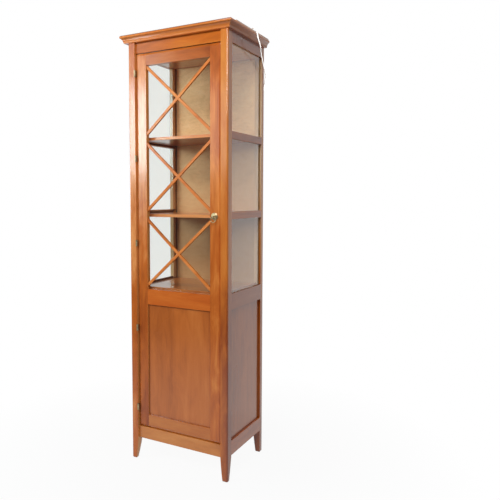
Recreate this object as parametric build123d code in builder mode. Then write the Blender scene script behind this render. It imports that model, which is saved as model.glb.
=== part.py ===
"""Tall wooden display cabinet: glazed sides, a glazed and panelled door with cross lattice, lit from the top.

Millimetres, +Z up. The origin is on the floor, at the centre of the footprint of the cornice.
The door's front faces -Y and it is hung on the left (-X) side.
"""

import os
from math import cos, pi, radians, sin, sqrt, tan

from build123d import *

# Body over the corner posts
body_width = 512.0
body_depth = 350.0
body_height = 1950.0
fit_play = 0.2

# Corner posts and their tapered feet
post_size = 35.0
post_round = 7.0
rear_post_depth = 22.0
rear_post_web = 15.0
foot_height = 101.5
foot_taper_width = 10.5
foot_taper_depth = 21.0
foot_rear_taper_width = 13.0
foot_bow = 1.0
foot_round = 4.5

# Rails and aprons of the carcass
front_setback = 9.0
front_frame_thickness = 22.0
frieze_height = 78.5
front_apron_height = 55.5
rear_rail_thickness = 20.0
rear_rail_height = 80.0
rear_rebate = 9.0
rear_rebate_width = 10.0
rail_thickness = 20.0
side_top_rail_height = 81.2
cross_rail_height = 32.0
deck_rail_height = 70.3
side_apron_bottom = 108.8
side_apron_height = 64.2
tenon_length = 8.0
tenon_thickness = 8.0
tenon_shoulder = 10.0

# Fixed side glass and the beads that hold it
glass_thickness = 4.0
side_lip = 8.0
side_lap = 5.0
front_bead_width = 10.0
front_bead_thickness = 12.0
rear_bead_width = 20.0
rear_bead_thickness = 19.0

# Lower side panels
side_panel_recess = 9.0
side_panel_thickness = 8.0
side_panel_lap = 6.0

# Shelves, deck, floor and ceiling of the inside
shelf_thickness = 13.0
shelf_setback = 45.0
shelf_upper_z = 1487.0
shelf_lower_z = 1140.3
upper_rail_drop = 11.8
lower_rail_drop = 2.8
deck_thickness = 13.0
deck_top_z = 820.0
deck_rail_rise = 0.3
floor_board_thickness = 12.0
floor_board_drop = 0.0
ceiling_thickness = 8.0
ceiling_drop = 80.0
tongue_thickness = 6.0
tongue_length = 6.0
shelf_tongue_rise = 6.0
back_thickness = 5.0
back_lap = 10.0

# Cornice and top board
cornice_height = 33.0
cornice_out = 27.0
cornice_foot_out = 13.5
cornice_step_out = 15.5
cornice_step_height = 7.5
cornice_cove_height = 21.8
cornice_cove_depth = 2.6
cornice_nose_height = 27.0
cornice_top_out = 23.5
top_board_thickness = 6.0
top_board_side_inset = 5.0
top_board_front_inset = 60.0

# Door frame
door_gap = 2.5
door_gap_top = 3.0
door_gap_bottom = 3.0
door_stile_width = 53.5
door_top_rail_height = 53.5
door_bottom_rail_height = 59.7
door_middle_rail_top = 810.0
door_middle_rail_height = 70.8
door_rim_width = 9.0
door_rim_depth = 4.5
door_lip = 12.0
door_lap = 8.0
door_tenon_length = 20.0
door_tenon_thickness = 7.0
door_tenon_setback = 4.0
door_panel_setback = 6.0
door_panel_thickness = 7.0

# Cross lattice in front of the door glass
lattice_bar_width = 12.5
lattice_bar_depth = 8.0
lattice_count = 3
lattice_between = 45.0
lattice_top_margin = 6.0
lattice_bottom_margin = 21.0

# Butt hinges with ball tipped pins
hinge_top_drop = 84.5
hinge_bottom_rise = 90.0
hinge_shifts = (0.0, -6.5, 3.0, 4.5, 0.0)
hinge_length = 27.0
hinge_barrel_radius = 5.0
hinge_pin_radius = 2.0
hinge_pin_play = 0.05
hinge_setback = 2.0
hinge_leaf_play = 0.1
hinge_leaf_reach = 24.0
hinge_knuckles = 3
hinge_knuckle_gap = 0.2
hinge_tip_radius = 3.4
hinge_tip_height = 2.0
hinge_notch_play = 0.4

# Ring pull
pull_inset = 31.5
pull_z = 1148.5
rosette_radius = 16.0
rosette_rim = 1.6
rosette_dome = 4.2
eye_reach = 13.0
eye_radius = 4.6
eye_width = 5.0
eye_hole_radius = 2.5
ring_radius = 12.4
ring_wire_radius = 1.8

# Magnetic catch under the deck
catch_inset = 106.0
catch_length = 46.0
catch_depth = 15.0
catch_height = 14.0
strike_length = 36.0
strike_height = 10.0
strike_thickness = 1.2
catch_gap = 0.3

# Ceiling lamp
lamp_back = 125.0
lamp_radius = 29.0
lamp_flange_radius = 33.0
lamp_flange_thickness = 2.5
lamp_flange_round = 1.2
lamp_height = 22.0
lens_radius = 25.0
lens_thickness = 3.0
lens_bulge = 1.5

# Lead, its gland on the top board, its coil, tie and plug
cord_diameter = 5.5
gland_inset = 84.0
gland_back = 128.0
gland_length = 26.0
gland_width = 20.0
gland_height = 11.0
gland_round = 3.0
cord_rise = 5.0
relief_length = 22.0
relief_radius = 4.4
relief_tip_radius = 3.4
lead_hole_radius = 4.0
lamp_lead_diameter = 4.0
coil_pitch = 7.1
coil_turn_radius = 38.5
coil_half_turns = 5
coil_inset = 194.5
coil_back = 60.0
tie_width = 7.0
tie_thickness = 1.2
tie_gap = 0.3
tie_slack = 0.6
plug_length = 36.0
plug_width = 26.0
plug_height = 13.5
plug_neck_width = 15.0
plug_round = 3.0
plug_pin_length = 19.0
plug_pin_radius = 2.0
plug_pin_spacing = 19.0
tail_reach = 58.5

# Places that follow from the sizes above
half_width = body_width / 2
front_y = cornice_out - (body_depth + cornice_out) / 2
rear_y = front_y + body_depth
bay_x = half_width - post_size
side_in_x = half_width - rail_thickness
side_front_y = front_y + post_size
side_rear_y = rear_y - rear_post_depth
frame_y = front_y + front_setback
frame_back_y = frame_y + front_frame_thickness
frieze_z = body_height - frieze_height
apron_top_z = foot_height + front_apron_height
rear_rail_z = body_height - rear_rail_height
ceiling_z = body_height - ceiling_drop
side_top_z = body_height - side_top_rail_height
side_apron_z = side_apron_bottom + side_apron_height
upper_rail_z = shelf_upper_z - upper_rail_drop
lower_rail_z = shelf_lower_z - lower_rail_drop
deck_rail_top_z = deck_top_z + deck_rail_rise
deck_rail_z = deck_rail_top_z - deck_rail_height
deck_z = deck_top_z - deck_thickness
floor_board_z = apron_top_z - floor_board_drop - floor_board_thickness
back_y = rear_y - rear_rebate
glass_out_x = half_width - side_lip
glass_in_x = glass_out_x - glass_thickness
panel_out_x = half_width - side_panel_recess
panel_in_x = panel_out_x - side_panel_thickness
pane_heights = (
    (deck_rail_top_z, lower_rail_z),
    (lower_rail_z + cross_rail_height, upper_rail_z),
    (upper_rail_z + cross_rail_height, side_top_z),
)
door_x = bay_x - door_gap
door_z = apron_top_z + door_gap_bottom
door_top_z = frieze_z - door_gap_top
sight_x = door_x - door_stile_width
glass_z = door_middle_rail_top
glass_top_z = door_top_z - door_top_rail_height
panel_top_z = glass_z - door_middle_rail_height
panel_z = door_z + door_bottom_rail_height
door_glass_y = frame_y + door_lip
door_bead_y = door_glass_y + glass_thickness
door_panel_y = frame_y + door_panel_setback
hinge_x = -(bay_x + door_x) / 2
hinge_y = front_y + hinge_setback
hinge_low_z = door_z + hinge_bottom_rise
hinge_pitch = (door_top_z - hinge_top_drop - hinge_low_z) / (len(hinge_shifts) - 1)
hinge_heights = [hinge_low_z + place * hinge_pitch + shift for place, shift in enumerate(hinge_shifts)]
pull_x = door_x - pull_inset
catch_x = half_width - catch_inset
lattice_room = glass_top_z - glass_z - lattice_top_margin - lattice_bottom_margin
lattice_half_rise = (lattice_room - (lattice_count - 1) * lattice_between) / (2 * lattice_count)
lattice_low_z = glass_z + lattice_bottom_margin + lattice_half_rise
lattice_pitch = 2 * lattice_half_rise + lattice_between
cord_radius = cord_diameter / 2
top_z = body_height + top_board_thickness


def block(x, y, z, mode=Mode.ADD):
    """Add or cut a squared block, given its two limits on each axis."""
    with Locations((x[0], y[0], z[0])):
        corner = (Align.MIN, Align.MIN, Align.MIN)
        Box(x[1] - x[0], y[1] - y[0], z[1] - z[0], align=corner, mode=mode)


def save(builder, label):
    """Name a finished piece and write it."""
    builder.part.label = label
    export_step(builder.part, f"parts/{label}.step")


def mirrored(builder):
    """The same piece for the other side of the cabinet."""
    with BuildPart() as piece:
        mirror(builder.part, about=Plane.YZ)
    return piece


def tenon_limits(low, high):
    """Height limits of a stub tenon between its two shoulders."""
    return (low + tenon_shoulder, high - tenon_shoulder)


def grown(limits, amount):
    """Limits moved apart by an amount at each end."""
    return (limits[0] - amount, limits[1] + amount)


front_tenon_y = frame_y + (front_frame_thickness - tenon_thickness) / 2
front_tenon = (front_tenon_y, front_tenon_y + tenon_thickness)
rear_tenon_y = rear_y - rear_rebate - tenon_thickness
rear_tenon = (rear_tenon_y, rear_tenon_y + tenon_thickness)
side_tenon_x = half_width - (rail_thickness + tenon_thickness) / 2
side_tenon = (side_tenon_x, side_tenon_x + tenon_thickness)
side_rails = (
    (side_apron_bottom, side_apron_z),
    (deck_rail_z, deck_rail_top_z),
    (lower_rail_z, lower_rail_z + cross_rail_height),
    (upper_rail_z, upper_rail_z + cross_rail_height),
    (side_top_z, body_height),
)
mortise_depth = tenon_length + fit_play


def taper_foot(plane, inner, sign, taper):
    """Cut one inner face of a foot back to a gently bowed taper, seen square to the plane."""
    with BuildSketch(plane) as shaving:
        with BuildLine():
            curve = SagittaArc((inner, foot_height), (inner + sign * taper, 0), -sign * foot_bow)
            Line(curve @ 1, (inner, 0))
            Line((inner, 0), (inner, foot_height))
        make_face()
    extrude(shaving.sketch, amount=body_depth, both=True, mode=Mode.SUBTRACT)


def round_foot():
    """Round the bottom end of the post being built."""
    bottom = edges().group_by(Axis.Z)[0]
    fillet(bottom, radius=foot_round)


def make_post_front():
    """Right front post: rounded outer edge, tapered foot, mortises, glass rebates and panel groove."""
    post_x = (bay_x, half_width)
    with BuildPart() as post:
        with BuildSketch():
            with Locations((half_width, front_y)):
                Rectangle(post_size, post_size, align=(Align.MAX, Align.MIN))
            outer = vertices().group_by(Axis.X)[-1].sort_by(Axis.Y)[0]
            fillet(outer, radius=post_round)
        extrude(amount=body_height)
        taper_foot(Plane.XZ, bay_x, 1, foot_taper_width)
        taper_foot(Plane.YZ, side_front_y, -1, foot_taper_depth)
        round_foot()
        for low, high in ((foot_height, apron_top_z), (frieze_z, body_height)):
            hole = grown(tenon_limits(low, high), fit_play)
            block((bay_x, bay_x + mortise_depth), grown(front_tenon, fit_play), hole, Mode.SUBTRACT)
        for low, high in side_rails:
            hole = grown(tenon_limits(low, high), fit_play)
            depth = (side_front_y - mortise_depth, side_front_y)
            block(grown(side_tenon, fit_play), depth, hole, Mode.SUBTRACT)
        for low, high in pane_heights:
            rebate = (side_front_y - side_lap, side_front_y)
            block((bay_x, glass_out_x), rebate, (low - side_lap, high + side_lap), Mode.SUBTRACT)
        groove = (side_front_y - side_panel_lap, side_front_y)
        height = grown((side_apron_z, deck_rail_z), side_panel_lap)
        block(grown((panel_in_x, panel_out_x), fit_play), groove, height, Mode.SUBTRACT)
    return post


def make_post_rear():
    """Right rear post: a thin outer lip holds the glass, and a rebate behind takes the back."""
    with BuildPart() as post:
        with BuildSketch():
            with Locations((half_width, rear_y)):
                Rectangle(post_size, rear_post_depth, align=(Align.MAX, Align.MAX))
        extrude(amount=body_height)
        taper_foot(Plane.XZ, bay_x, 1, foot_rear_taper_width)
        round_foot()
        for low, high in pane_heights:
            rebate = (side_rear_y, rear_y - rear_post_web)
            block((bay_x, glass_out_x), rebate, (low - side_lap, high + side_lap), Mode.SUBTRACT)
        groove = (side_rear_y, side_rear_y + side_panel_lap)
        height = grown((side_apron_z, deck_rail_z), side_panel_lap)
        block(grown((panel_in_x, panel_out_x), fit_play), groove, height, Mode.SUBTRACT)
        back = (side_apron_z - back_lap, rear_rail_z + back_lap)
        block((bay_x, bay_x + rear_rebate_width), (back_y, rear_y), back, Mode.SUBTRACT)
        for low, high in side_rails:
            hole = grown(tenon_limits(low, high), fit_play)
            depth = (side_rear_y, side_rear_y + mortise_depth)
            block(grown(side_tenon, fit_play), depth, hole, Mode.SUBTRACT)
        for low, high in ((side_apron_bottom, side_apron_z), (rear_rail_z, body_height)):
            hole = grown(tenon_limits(low, high), fit_play)
            block((bay_x, bay_x + mortise_depth), grown(rear_tenon, fit_play), hole, Mode.SUBTRACT)
    return post


def cut_hinge_notches():
    """Round hollows in the hinge post's inner front edge, one for each barrel."""
    for height in hinge_heights:
        with Locations((hinge_x, hinge_y, height)):
            length = hinge_length + 2 * (hinge_tip_height + hinge_notch_play)
            radius = hinge_barrel_radius + hinge_notch_play
            Cylinder(radius, length, mode=Mode.SUBTRACT)


def make_side_rail(low, high, above, below, tongue_z=None):
    """Right side rail or apron, with what its upper and lower edges hold: glass, panel or nothing."""
    with BuildPart() as rail:
        rail_y = (side_front_y, side_rear_y)
        block((side_in_x, half_width), rail_y, (low, high))
        for end in (side_front_y - tenon_length, side_rear_y):
            block(side_tenon, (end, end + tenon_length), tenon_limits(low, high))
        for kind, edge, way in ((above, high, -1), (below, low, 1)):
            if kind == "glass":
                depth = sorted((edge, edge + way * side_lap))
                block((side_in_x, glass_out_x), rail_y, depth, Mode.SUBTRACT)
            if kind == "panel":
                depth = sorted((edge, edge + way * side_panel_lap))
                block(grown((panel_in_x, panel_out_x), fit_play), rail_y, depth, Mode.SUBTRACT)
        if tongue_z is not None:
            groove = grown((tongue_z, tongue_z + tongue_thickness), fit_play)
            depth = (side_in_x, side_in_x + tongue_length + fit_play)
            block(depth, rail_y, groove, Mode.SUBTRACT)
    return rail


def make_cross_rail(low, high, y, tenon_y, length=tenon_length):
    """Front or rear member between two posts, with a stub tenon at each end."""
    block((-bay_x, bay_x), y, (low, high))
    for start in (-bay_x - length, bay_x):
        block((start, start + length), tenon_y, tenon_limits(low, high))


def make_frieze():
    """Front top rail: set back like the door, and thickened at the top to carry the cornice."""
    with BuildPart() as frieze:
        make_cross_rail(frieze_z, body_height, (frame_y, frame_back_y), front_tenon)
        block((-bay_x, bay_x), (front_y, frame_y), (body_height - cornice_height, body_height))
    return frieze


def make_front_apron():
    """Front bottom rail under the door."""
    with BuildPart() as apron:
        make_cross_rail(foot_height, apron_top_z, (frame_y, frame_back_y), front_tenon)
    return apron


def make_rear_rail(low, high, rebate_low, rebate_high):
    """Rear top rail or apron, rebated for the back board."""
    with BuildPart() as rail:
        y = (rear_y - rear_rail_thickness, rear_y)
        make_cross_rail(low, high, y, rear_tenon)
        block((-bay_x, bay_x), (back_y, rear_y), (rebate_low, rebate_high), Mode.SUBTRACT)
    return rail


def make_board(z, thickness, y, tongue_rise=None):
    """Inside board between the side rails, notched round the posts, with a tongue at each end."""
    with BuildPart() as board:
        block((-side_in_x, side_in_x), y, (z, z + thickness))
        if tongue_rise is not None:
            tongue = (z + tongue_rise, z + tongue_rise + tongue_thickness)
            run = (max(y[0], side_front_y), side_rear_y)
            end = side_in_x + tongue_length
            block((-end, end), run, tongue)
        for x in ((-half_width, -bay_x + fit_play), (bay_x - fit_play, half_width)):
            for post_y in ((front_y, side_front_y), (side_rear_y, rear_y)):
                block(x, post_y, (z, z + thickness), Mode.SUBTRACT)
    return board


def make_ceiling():
    """Ceiling panel with the lamp's hole."""
    board = make_board(ceiling_z, ceiling_thickness, (frame_back_y, rear_y - rear_rail_thickness))
    with board:
        with Locations((0, front_y + lamp_back, ceiling_z)):
            Cylinder(lamp_radius + fit_play, 2 * ceiling_thickness, mode=Mode.SUBTRACT)
    return board


def make_back():
    """Thin back board, let into the rebates of the rear posts and rails."""
    with BuildPart() as back:
        x = bay_x + rear_rebate_width - fit_play
        z = (side_apron_z - back_lap + fit_play, rear_rail_z + back_lap - fit_play)
        block((-x, x), (back_y, back_y + back_thickness), z)
    return back


def make_side_glass():
    """Right side's three fixed panes."""
    with BuildPart() as glass:
        for low, high in pane_heights:
            y = (side_front_y - side_lap + fit_play, side_rear_y + side_lap - fit_play)
            block((glass_in_x, glass_out_x), y, (low - side_lap, high + side_lap - fit_play))
    return glass


def make_side_beads():
    """Right side's glazing beads: two upright and two level strips inside each pane."""
    with BuildPart() as beads:
        for low, high in pane_heights:
            upright = grown((low, high), -fit_play)
            front = (side_front_y - side_lap, side_front_y - side_lap + front_bead_width)
            rear = (side_rear_y + side_lap - fit_play - rear_bead_width, side_rear_y + side_lap - fit_play)
            block((glass_in_x - front_bead_thickness, glass_in_x), front, upright)
            block((glass_in_x - rear_bead_thickness, glass_in_x), rear, upright)
            for level in ((low - side_lap, low), (high, high + side_lap)):
                block((side_in_x, glass_in_x), (side_front_y, side_rear_y), level)
    return beads


def make_side_panel():
    """Right side's lower panel, held in grooves all round."""
    with BuildPart() as panel:
        y = grown((side_front_y, side_rear_y), side_panel_lap - fit_play)
        z = grown((side_apron_z, deck_rail_z), side_panel_lap - fit_play)
        block((panel_in_x, panel_out_x), y, z)
    return panel


def cornice_profile():
    """Half section of the cornice: foot, quirk, cove, nose and rounded top, out from the post faces."""
    low = body_height - cornice_height
    with BuildLine() as outline:
        step = (cornice_step_out, low + cornice_step_height)
        nose = (cornice_out, low + cornice_cove_height)
        cove_x = (cornice_step_out + cornice_out) / 2 - cornice_cove_depth
        cove_z = low + (cornice_step_height + cornice_cove_height) / 2
        Polyline((0, body_height), (0, low), (cornice_foot_out, low), step)
        ThreePointArc(step, (cove_x, cove_z), nose)
        shoulder = (cornice_out, low + cornice_nose_height)
        top = (cornice_top_out, body_height)
        Line(nose, shoulder)
        TangentArc(shoulder, top, tangent=(0, 1))
        Line(top, (0, body_height))
    make_face(outline.edges())


def make_cornice_front():
    """Front run of the cornice, mitred at both ends."""
    with BuildPart() as run:
        with BuildSketch(Plane(origin=(0, front_y, 0), x_dir=(0, -1, 0), z_dir=(-1, 0, 0))):
            cornice_profile()
        extrude(amount=half_width + cornice_out, both=True)
        for side in (-1, 1):
            corner = Plane(origin=(side * half_width, front_y, 0), z_dir=(side, 1, 0))
            split(bisect_by=corner, keep=Keep.BOTTOM)
    return run


def make_cornice_side():
    """Right run of the cornice, mitred at the front and square at the rear."""
    with BuildPart() as run:
        with BuildSketch(Plane(origin=(half_width, rear_y, 0), x_dir=(1, 0, 0), z_dir=(0, -1, 0))):
            cornice_profile()
        extrude(amount=body_depth + cornice_out)
        split(bisect_by=Plane(origin=(half_width, front_y, 0), z_dir=(1, 1, 0)), keep=Keep.TOP)
    return run


def make_top_board():
    """Thin board that closes the top, with the lead's hole."""
    with BuildPart() as board:
        x = half_width + cornice_out - top_board_side_inset
        y = (front_y - cornice_out + top_board_front_inset, rear_y)
        block((-x, x), y, (body_height, top_z))
        with Locations((half_width - gland_inset, rear_y - gland_back, body_height)):
            Cylinder(lead_hole_radius, 2 * top_board_thickness, mode=Mode.SUBTRACT)
    return board


def make_door_outline():
    """Outer shape of the door, whose front edges are bevelled all round."""
    with BuildPart() as outline:
        block((-door_x, door_x), (frame_y, frame_back_y), (door_z, door_top_z))
        front = faces().sort_by(Axis.Y)[0]
        chamfer(front.edges(), length=door_rim_width, length2=door_rim_depth, reference=front)
    return outline


door_outline = make_door_outline()
door_rails = (
    (door_z, panel_z),
    (panel_top_z, glass_z),
    (glass_top_z, door_top_z),
)
door_tenon_y = (frame_y + door_tenon_setback, frame_y + door_tenon_setback + door_tenon_thickness)


def make_door_stile():
    """Lock stile: bevelled outer edge, glass rebate, panel groove and three mortises."""
    with BuildPart() as stile:
        block((sight_x, door_x), (frame_y, frame_back_y), (door_z, door_top_z))
        add(door_outline.part, mode=Mode.INTERSECT)
        lap = (sight_x, sight_x + door_lap)
        glass = grown((glass_z, glass_top_z), door_lap)
        block(lap, (door_glass_y, frame_back_y), glass, Mode.SUBTRACT)
        groove = grown((door_panel_y, door_panel_y + door_panel_thickness), fit_play)
        block(lap, groove, grown((panel_z, panel_top_z), door_lap), Mode.SUBTRACT)
        for low, high in door_rails:
            hole = grown(tenon_limits(low, high), fit_play)
            depth = (sight_x, sight_x + door_tenon_length + fit_play)
            block(depth, grown(door_tenon_y, fit_play), hole, Mode.SUBTRACT)
    return stile


def make_door_rail(low, high, above=None, below=None):
    """Door rail with stub tenons, and the rebate or groove that its upper and lower edges hold."""
    with BuildPart() as rail:
        block((-sight_x, sight_x), (frame_y, frame_back_y), (low, high))
        add(door_outline.part, mode=Mode.INTERSECT)
        for kind, edge, way in ((above, high, -1), (below, low, 1)):
            lap = sorted((edge, edge + way * door_lap))
            if kind == "glass":
                block((-sight_x, sight_x), (door_glass_y, frame_back_y), lap, Mode.SUBTRACT)
            if kind == "panel":
                groove = grown((door_panel_y, door_panel_y + door_panel_thickness), fit_play)
                block((-sight_x, sight_x), groove, lap, Mode.SUBTRACT)
        for start in (-sight_x - door_tenon_length, sight_x):
            block((start, start + door_tenon_length), door_tenon_y, tenon_limits(low, high))
    return rail


def make_door_panel():
    """Flat lower panel, let into grooves all round."""
    with BuildPart() as panel:
        x = grown((-sight_x, sight_x), door_lap - fit_play)
        z = grown((panel_z, panel_top_z), door_lap - fit_play)
        block(x, (door_panel_y, door_panel_y + door_panel_thickness), z)
    return panel


def make_door_glass():
    """Single pane behind the lattice, standing in the middle rail's rebate."""
    with BuildPart() as glass:
        x = grown((-sight_x, sight_x), door_lap - fit_play)
        block(x, (door_glass_y, door_bead_y), (glass_z - door_lap, glass_top_z + door_lap - fit_play))
    return glass


def make_door_beads():
    """Four strips that hold the pane from inside, flush with the sight edges."""
    with BuildPart() as beads:
        y = (door_bead_y, frame_back_y)
        z = grown((glass_z, glass_top_z), door_lap)
        for x in ((-sight_x - door_lap, -sight_x), (sight_x, sight_x + door_lap)):
            block(x, y, z)
        x = grown((-sight_x, sight_x), -fit_play)
        for level in ((glass_z - door_lap, glass_z), (glass_top_z, glass_top_z + door_lap)):
            block(x, y, level)
    return beads


def bar_outline(way, height):
    """Face of a bar that rises to the right (1) or to the left (-1), cut upright at the stiles."""
    slope_length = sqrt(sight_x**2 + lattice_half_rise**2)
    half = lattice_bar_width / 2 * slope_length / sight_x
    rise = way * lattice_half_rise
    with BuildLine() as outline:
        left, right = height - rise, height + rise
        Polyline(
            (-sight_x, left - half),
            (sight_x, right - half),
            (sight_x, right + half),
            (-sight_x, left + half),
            close=True,
        )
    make_face(outline.edges())
    with Locations((0, (glass_z + glass_top_z) / 2)):
        Rectangle(2 * sight_x, glass_top_z - glass_z, mode=Mode.INTERSECT)


def make_lattice(height):
    """Two bars halved over each other; the one that rises to the right passes in front."""
    back = Plane.XZ.offset(-door_glass_y)
    middle = back.offset(lattice_bar_depth / 2)
    with BuildPart() as rising:
        with BuildSketch(back):
            bar_outline(1, height)
        extrude(amount=lattice_bar_depth)
        with BuildSketch(back):
            bar_outline(-1, height)
        extrude(amount=lattice_bar_depth / 2, mode=Mode.SUBTRACT)
    with BuildPart() as falling:
        with BuildSketch(back):
            bar_outline(-1, height)
        extrude(amount=lattice_bar_depth)
        with BuildSketch(middle):
            bar_outline(1, height)
        extrude(amount=lattice_bar_depth / 2, mode=Mode.SUBTRACT)
    return Compound(children=[rising.part, falling.part])


def make_leaves(plate, knuckles):
    """Leaves on one side of the hinge line, with knuckles at the given places up the barrel."""
    pitch = hinge_length / hinge_knuckles
    with BuildPart() as leaves:
        for height in hinge_heights:
            low = height - hinge_length / 2
            root = hinge_y + hinge_barrel_radius + hinge_notch_play
            block(plate, (root, hinge_y + hinge_leaf_reach), (low, low + hinge_length))
            for place in knuckles:
                middle = low + (place + 1 / 2) * pitch
                tall = pitch - hinge_knuckle_gap
                block(plate, (hinge_y, root), (middle - tall / 2, middle + tall / 2))
                with Locations((hinge_x, hinge_y, middle)):
                    Cylinder(hinge_barrel_radius, tall)
            with Locations((hinge_x, hinge_y, height)):
                Cylinder(hinge_pin_radius + hinge_pin_play, 2 * hinge_length, mode=Mode.SUBTRACT)
    return leaves


def make_pins():
    """Hinge pins with a domed tip at each end."""
    half = hinge_length / 2
    with BuildPart() as pins:
        with BuildSketch(Plane.XZ):
            with BuildLine():
                tip = (0, half + hinge_tip_height)
                rim = (hinge_tip_radius, half)
                Line((0, 0), (hinge_pin_radius, 0))
                Line((hinge_pin_radius, 0), (hinge_pin_radius, half))
                Line((hinge_pin_radius, half), rim)
                TangentArc(tip, rim, tangent=(1, 0))
                Line(tip, (0, 0))
            make_face()
        revolve(axis=Axis.Z)
        mirror(about=Plane.XY)
    with BuildPart() as placed:
        with Locations(*[(hinge_x, hinge_y, height) for height in hinge_heights]):
            add(pins.part)
    return placed


def make_rosette():
    """Domed round plate with a drilled boss for the ring."""
    with BuildPart() as rosette:
        face = Plane(origin=(pull_x, frame_y, pull_z), x_dir=(1, 0, 0), z_dir=(0, 0, 1))
        with BuildSketch(face):
            with BuildLine():
                rim = (rosette_radius, -rosette_rim)
                crown = (0, -rosette_rim - rosette_dome)
                Polyline(crown, (0, 0), (rosette_radius, 0), rim)
                TangentArc(crown, rim, tangent=(1, 0))
            make_face()
        revolve(axis=Axis((pull_x, frame_y, pull_z), (0, 1, 0)))
        with BuildSketch(Plane(origin=(pull_x, frame_y, pull_z), z_dir=(0, -1, 0))):
            Circle(eye_radius)
        extrude(amount=eye_reach)
        with Locations((pull_x, frame_y - eye_reach, pull_z)):
            Sphere(eye_radius)
        for side in (-1, 1):
            start = pull_x + side * (eye_width + eye_radius) / 2
            with Locations((start, frame_y - eye_reach, pull_z)):
                Box(eye_radius, 2 * eye_radius, 2 * eye_radius, mode=Mode.SUBTRACT)
        with Locations(Location((pull_x, frame_y - eye_reach, pull_z), (0, 90, 0))):
            Cylinder(eye_hole_radius, 2 * eye_radius, mode=Mode.SUBTRACT)
    return rosette


def make_ring():
    """Round wire ring that hangs through the boss."""
    with BuildPart() as ring:
        hub = Location((pull_x, frame_y - eye_reach, pull_z - ring_radius), (90, 0, 0))
        with Locations(hub):
            Torus(ring_radius, ring_wire_radius)
    return ring


def make_catch():
    """Magnet block under the deck's front edge."""
    with BuildPart() as catch:
        y = frame_back_y + strike_thickness + catch_gap
        x = (catch_x - catch_length / 2, catch_x + catch_length / 2)
        block(x, (y, y + catch_depth), (deck_z - catch_height, deck_z))
        fillet(edges().filter_by(Axis.Y), radius=strike_thickness)
    return catch


def make_strike():
    """Steel plate on the back of the door, facing the magnet."""
    with BuildPart() as strike:
        x = (catch_x - strike_length / 2, catch_x + strike_length / 2)
        middle = deck_z - catch_height / 2
        z = (middle - strike_height / 2, middle + strike_height / 2)
        block(x, (frame_back_y, frame_back_y + strike_thickness), z)
    return strike


def make_lamp_body():
    """Recessed lamp housing, with a flange under the ceiling and a seat for the lens."""
    lamp_y = front_y + lamp_back
    rim_z = -lamp_flange_thickness
    with BuildPart() as lamp:
        with BuildSketch(Plane(origin=(0, lamp_y, ceiling_z), x_dir=(1, 0, 0), z_dir=(0, -1, 0))):
            with BuildLine():
                Polyline(
                    (0, lamp_height),
                    (lamp_radius, lamp_height),
                    (lamp_radius, 0),
                    (lamp_flange_radius, 0),
                    (lamp_flange_radius - lamp_flange_round, rim_z),
                    (lens_radius, rim_z),
                    (lens_radius, rim_z + lens_thickness),
                    (0, rim_z + lens_thickness),
                    close=True,
                )
            make_face()
        revolve(axis=Axis((0, lamp_y, 0), (0, 0, 1)))
    return lamp


def make_lens():
    """Slightly bulged lens in the lamp's seat."""
    lamp_y = front_y + lamp_back
    low = ceiling_z - lamp_flange_thickness
    with BuildPart() as lens:
        with BuildSketch(Plane(origin=(0, lamp_y, low), x_dir=(1, 0, 0), z_dir=(0, -1, 0))):
            with BuildLine():
                rim = (lens_radius - fit_play, 0)
                crown = (0, -lens_bulge)
                Polyline(crown, (0, lens_thickness), (rim[0], lens_thickness), rim)
                TangentArc(crown, rim, tangent=(1, 0))
            make_face()
        revolve(axis=Axis((0, lamp_y, 0), (0, 0, 1)))
    return lens


def bend_radii(points):
    """Widest bend that each corner of a route has room for."""
    radii = []
    for before, at, after in zip(points, points[1:], points[2:]):
        first = Vector(*at) - Vector(*before)
        second = Vector(*after) - Vector(*at)
        turn = radians(first.get_angle(second))
        radii.append(0.45 * min(first.length, second.length) / tan(turn / 2))
    return radii


def make_tube(points, diameter, label):
    """Round tube along a route of straight runs and tangent bends."""
    radii = bend_radii(points)
    shortest = min(radii)
    print(label, "bends from", round(shortest, 1), "=", round(shortest / diameter, 1), "diameters")
    with BuildPart() as tube:
        with BuildLine() as route:
            FilletPolyline(*points, radius=radii)
        path = route.wires()[0]
        with BuildSketch(Plane(origin=path @ 0, z_dir=path % 0)):
            Circle(diameter / 2)
        sweep(path=path)
    area = pi * diameter**2 / 4
    print(label, "length", round(path.length), "volume over section", round(tube.part.volume / area))
    return tube


gland_x = half_width - gland_inset
gland_y = rear_y - gland_back
coil_x = half_width - coil_inset
coil_y = rear_y + coil_back
coil_z = tie_thickness + tie_gap + cord_radius
upper_coil_z = coil_z + coil_pitch
plug_end_x = coil_x - coil_turn_radius - tail_reach
mouth_x = gland_x + gland_length / 2 + relief_length

# Lead from the gland over the cornice and round the rear post: out from the side, in from the back, height
lead_over = (
    (mouth_x - half_width, gland_back, top_z + cord_rise),
    (-28.0, gland_back, top_z + cord_rise),
    (0.1, 134.1, 1970.7),
    (16.6, 141.2, 1970.1),
    (29.9, 149.0, 1960.3),
    (37.5, 153.7, 1941.8),
    (39.6, 149.1, 1917.9),
    (41.1, 139.8, 1905.0),
    (37.7, 118.9, 1887.9),
    (30.0, 101.4, 1876.3),
    (21.3, 75.7, 1861.1),
    (15.8, 48.3, 1844.2),
    (11.2, 26.7, 1826.6),
    (10.0, 4.2, 1803.3),
    (5.9, -9.0, 1780.9),
    (-10.0, -18.5, 1740.0),
)
hang_points = 22
hang_foot_z = 90.0
hang_bow = 26.0
lead_foot_back = 14.0
lead_foot_radius = 32.0


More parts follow.
